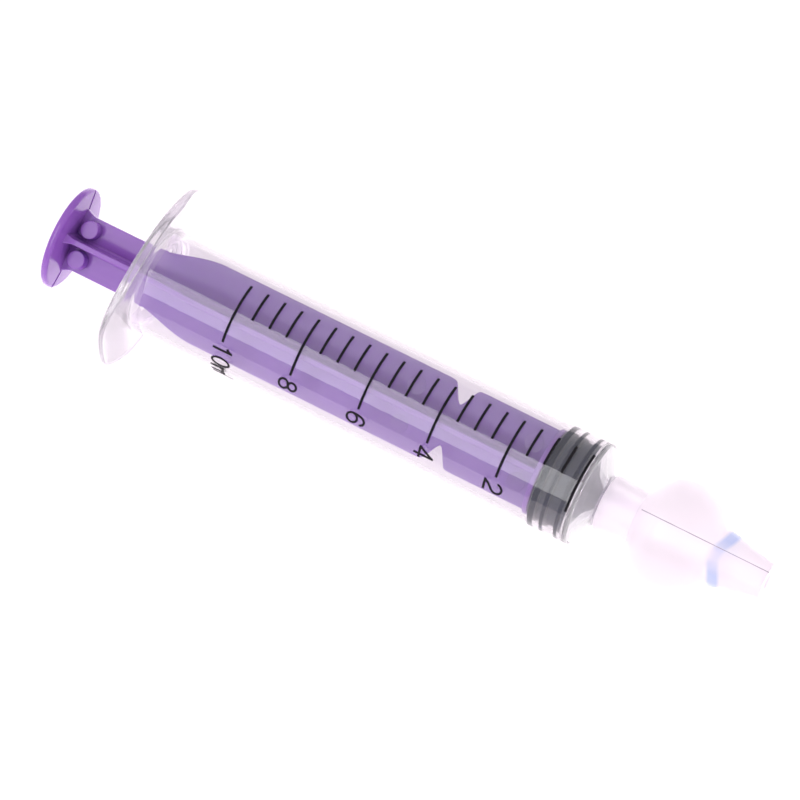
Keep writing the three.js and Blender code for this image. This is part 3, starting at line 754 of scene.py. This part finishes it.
def neck_ring(tree):
    """How blue the tip's neck is, from 0 to 1: a band round it, weaker beside the parting line."""
    link = tree.links.new
    place = tree.nodes.new("ShaderNodeTexCoord")
    split = tree.nodes.new("ShaderNodeSeparateXYZ")
    link(place.outputs["Object"], split.inputs["Vector"])
    centred = tree.nodes.new("ShaderNodeVectorMath")
    centred.operation = "SUBTRACT"
    link(place.outputs["Object"], centred.inputs[0])
    centred.inputs[1].default_value = (0, 0, AXIS_Z)
    across = tree.nodes.new("ShaderNodeVectorMath")
    across.operation = "DOT_PRODUCT"
    link(centred.outputs["Vector"], across.inputs[0])
    turn = math.radians(PARTING_ANGLE)
    across.inputs[1].default_value = (0, -math.cos(turn), -math.sin(turn))
    aside = calculate(tree, "ABSOLUTE", across.outputs["Value"])
    lean = rescale(tree, aside, (0.0, NECK_RING_LEAN_WIDTH * MM), (0.0, NECK_RING_LEAN * MM), smooth=True)
    straight = calculate(tree, "SUBTRACT", split.outputs["X"], lean)
    ends = [FLANGE_REAR_X + station * MM for station in (NECK_RING_START, NECK_RING_END)]
    ring = tree.nodes.new("ShaderNodeValToRGB")
    link(rescale(tree, straight, ends, (0.0, 1.0)), ring.inputs["Fac"])
    stops = ring.color_ramp.elements
    stops[0].color = stops[1].color = (0, 0, 0, 1)
    for position in (0.25, 0.75):
        stops.new(position).color = (1, 1, 1, 1)
    strength = rescale(tree, aside, (NECK_RING_WEAK_WIDTH * MM, NECK_RING_FULL_WIDTH * MM), (0.35, 1.0))
    return calculate(tree, "MULTIPLY", ring.outputs["Color"], strength)


def clear_silicone():
    """Soft clear silicone: cloudy, pale pink-lavender, with a bluer ring at the neck."""
    material, shader, output = new_material("clear_silicone_look")
    link = material.node_tree.links.new
    shader.inputs["Transmission Weight"].default_value = 0.68
    shader.inputs["IOR"].default_value = 1.41
    mix = material.node_tree.nodes.new("ShaderNodeMix")
    mix.data_type = "RGBA"
    link(neck_ring(material.node_tree), mix.inputs["Factor"])
    cast = ramp(material, noise(material, 90, detail=4.0), (0.935, 0.865, 0.925), (0.95, 0.89, 0.94))
    link(cast, mix.inputs["A"])
    mix.inputs["B"].default_value = (0.44, 0.54, 0.84, 1)
    link(mix.outputs["Result"], shader.inputs["Base Color"])
    link(ramp(material, noise(material, 500), 0.3, 0.4), shader.inputs["Roughness"])
    bump(material, shader, noise(material, 500, detail=2.0), 0.02)
    let_light_through(material, shader, output, (0.95, 0.92, 0.95))
    return material


def silicone_seam_painted_shade():
    """The flash line of the silicone: thin, and coloured dark grey as painted shade for the dark line that
    light draws along it.
    """
    material, shader, _ = new_material("silicone_seam_look")
    link = material.node_tree.links.new
    # Painted shade: the seam's dark grey stands in for the dark line that light draws along the flash line.
    link(ramp(material, noise(material, 400, detail=2.0), (0.34, 0.30, 0.37), (0.5, 0.45, 0.53)),
         shader.inputs["Base Color"])
    link(ramp(material, noise(material, 900), 0.35, 0.5), shader.inputs["Roughness"])
    return material


def black_ink():
    """Printed black ink: nearly matt, a little uneven where it lies thin."""
    material, shader, _ = new_material("black_ink_look")
    link = material.node_tree.links.new
    link(ramp(material, noise(material, 1600, detail=5.0), (0.003, 0.002, 0.004), (0.010, 0.007, 0.012)),
         shader.inputs["Base Color"])
    link(ramp(material, noise(material, 2500), 0.55, 0.7), shader.inputs["Roughness"])
    shader.inputs["Specular IOR Level"].default_value = 0.15
    bump(material, shader, noise(material, 5000), 0.003)
    return material


def dress(piece, materials, body, slot, *nodes):
    """Gives a new piece its materials and its body, and hides the CAD nodes that it stands for. slot is not
    used.
    """
    for material in materials:
        piece.data.materials.append(material)
    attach(piece, body)
    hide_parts(*nodes)


# Stage, lights and camera -------------------------------------------------------------------

def stage_level(tree, seen, through, mirrored, inside, lit):
    """How bright the stage is to each kind of ray.

    seen is for the camera, through for the camera through clear pieces, mirrored for gloss, inside
    for light that reaches what stands inside clear pieces, and lit for all other light.
    """
    path = tree.nodes.new("ShaderNodeLightPath")
    transmitted = path.outputs["Is Transmission Ray"]
    unscattered = calculate(tree, "SUBTRACT", transmitted, path.outputs["Diffuse Depth"], clamp=True)
    level = lit
    for ray, value in ((transmitted, inside), (path.outputs["Is Glossy Ray"], mirrored),
                       (unscattered, through), (path.outputs["Is Camera Ray"], seen)):
        level = rescale(tree, ray, (0.0, 1.0), (level, value))
    return level


def make_floor():
    """A pale floor that also glows, as a lit white sweep does."""
    mesh = bpy.data.meshes.new("floor")
    ends = (-FLOOR_HALF_SIZE, FLOOR_HALF_SIZE)
    corners = [(ends[i], ends[j], FLOOR_Z) for i, j in ((0, 0), (1, 0), (1, 1), (0, 1))]
    mesh.from_pydata(corners, [], [(0, 1, 2, 3)])
    floor = bpy.data.objects.new("floor", mesh)
    bpy.context.collection.objects.link(floor)
    material, shader, _ = new_material("floor_look")
    shader.inputs["Base Color"].default_value = (0.15, 0.15, 0.15, 1)
    shader.inputs["Roughness"].default_value = 0.9
    shader.inputs["Specular IOR Level"].default_value = 0.0
    shader.inputs["Emission Color"].default_value = (1.0, 0.93, 0.975, 1)
    level = stage_level(material.node_tree, **FLOOR_LEVELS)
    material.node_tree.links.new(level, shader.inputs["Emission Strength"])
    mesh.materials.append(material)


def view_directions():
    """Unit vectors to the camera, to the picture's right and up."""
    azimuth, elevation = math.radians(CAMERA_AZIMUTH), math.radians(CAMERA_ELEVATION)
    back = Vector((math.sin(azimuth) * math.cos(elevation), -math.cos(azimuth) * math.cos(elevation),
                   math.sin(elevation)))
    right = Vector((math.cos(azimuth), math.sin(azimuth), 0))
    return back, right, back.cross(right)


def make_camera():
    back, right, up = view_directions()
    data = bpy.data.cameras.new("camera")
    data.lens = CAMERA_LENS
    data.sensor_width = 36
    data.clip_start = 0.01
    camera = bpy.data.objects.new("camera", data)
    turn = Matrix((right, up, back)).transposed().to_4x4()
    camera.matrix_world = Matrix.Translation(Vector(CAMERA_AIM) + back * CAMERA_DISTANCE) @ turn
    bpy.context.collection.objects.link(camera)
    bpy.context.scene.camera = camera


def make_softbox():
    """A rectangular area light that faces the syringe's middle, its short side along the axis.

    Its light gets into the clear pieces by shadow rays, so rays that cross them don't see it.
    """
    data = bpy.data.lights.new("main_softbox", "AREA")
    data.shape = "RECTANGLE"
    data.size = SOFTBOX_LENGTH
    data.size_y = SOFTBOX_WIDTH
    data.energy = SOFTBOX_POWER
    light = bpy.data.objects.new("main_softbox", data)
    back = Vector(SOFTBOX_DIRECTION).normalized()
    axis = Vector((1, 0, 0))
    along = (axis - back * axis.dot(back)).normalized()
    turn = Matrix((along, back.cross(along), back)).transposed().to_4x4()
    light.matrix_world = Matrix.Translation(Vector((0, 0, AXIS_Z)) + back * SOFTBOX_DISTANCE) @ turn
    light.visible_camera = False
    light.visible_transmission = False
    bpy.context.collection.objects.link(light)


def make_world():
    """A pale room with a white backdrop."""
    world = bpy.data.worlds.new("studio")
    world.use_nodes = True
    background = world.node_tree.nodes["Background"]
    level = stage_level(world.node_tree, **WORLD_LEVELS)
    world.node_tree.links.new(level, background.inputs["Strength"])
    background.inputs["Color"].default_value = (1, 1, 1, 1)
    bpy.context.scene.world = world


# Scene --------------------------------------------------------------------------------------

make_camera()
make_world()
make_softbox()
make_floor()

tube = clear_plastic("clear_plastic_look", transmission=0.965, haze=0.04, tint=(0.985, 0.935, 0.985))
flange = clear_plastic("thick_clear_plastic_look", transmission=0.8, haze=0.12, tint=(0.96, 0.90, 0.965),
                       smooth=True)
nose = clear_plastic("nose_clear_plastic_look", transmission=0.86, haze=0.05, tint=(0.975, 0.97, 0.985))
bore = clear_plastic("bore_clear_plastic_look", transmission=0.97, haze=0.05, tint=(0.985, 0.97, 1.0))
dress(make_barrel(), [tube, flange, nose, bore], "barrel", "clear_plastic", "barrel")
dress(make_rod(), [purple_plastic()], "plunger", "purple_plastic", "plunger_rod")
dress(make_stopper(), [grey_rubber()], "stopper", "grey_rubber", "stopper")
dress(make_tip(), [clear_silicone(), silicone_seam_painted_shade()], "nasal_tip", "clear_silicone", "nasal_tip")

ink = black_ink()
for name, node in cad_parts.items():
    if name.startswith("scale_"):
        for material_slot in node.material_slots:
            material_slot.material = ink

# Light crosses many clear walls, and reaches the rod through them.
BOUNCES = 32
scene = bpy.context.scene
scene.view_settings.view_transform = "Standard"
scene.cycles.caustics_refractive = True
scene.cycles.caustics_reflective = False
scene.cycles.max_bounces = BOUNCES
scene.cycles.transmission_bounces = BOUNCES
scene.cycles.transparent_max_bounces = BOUNCES
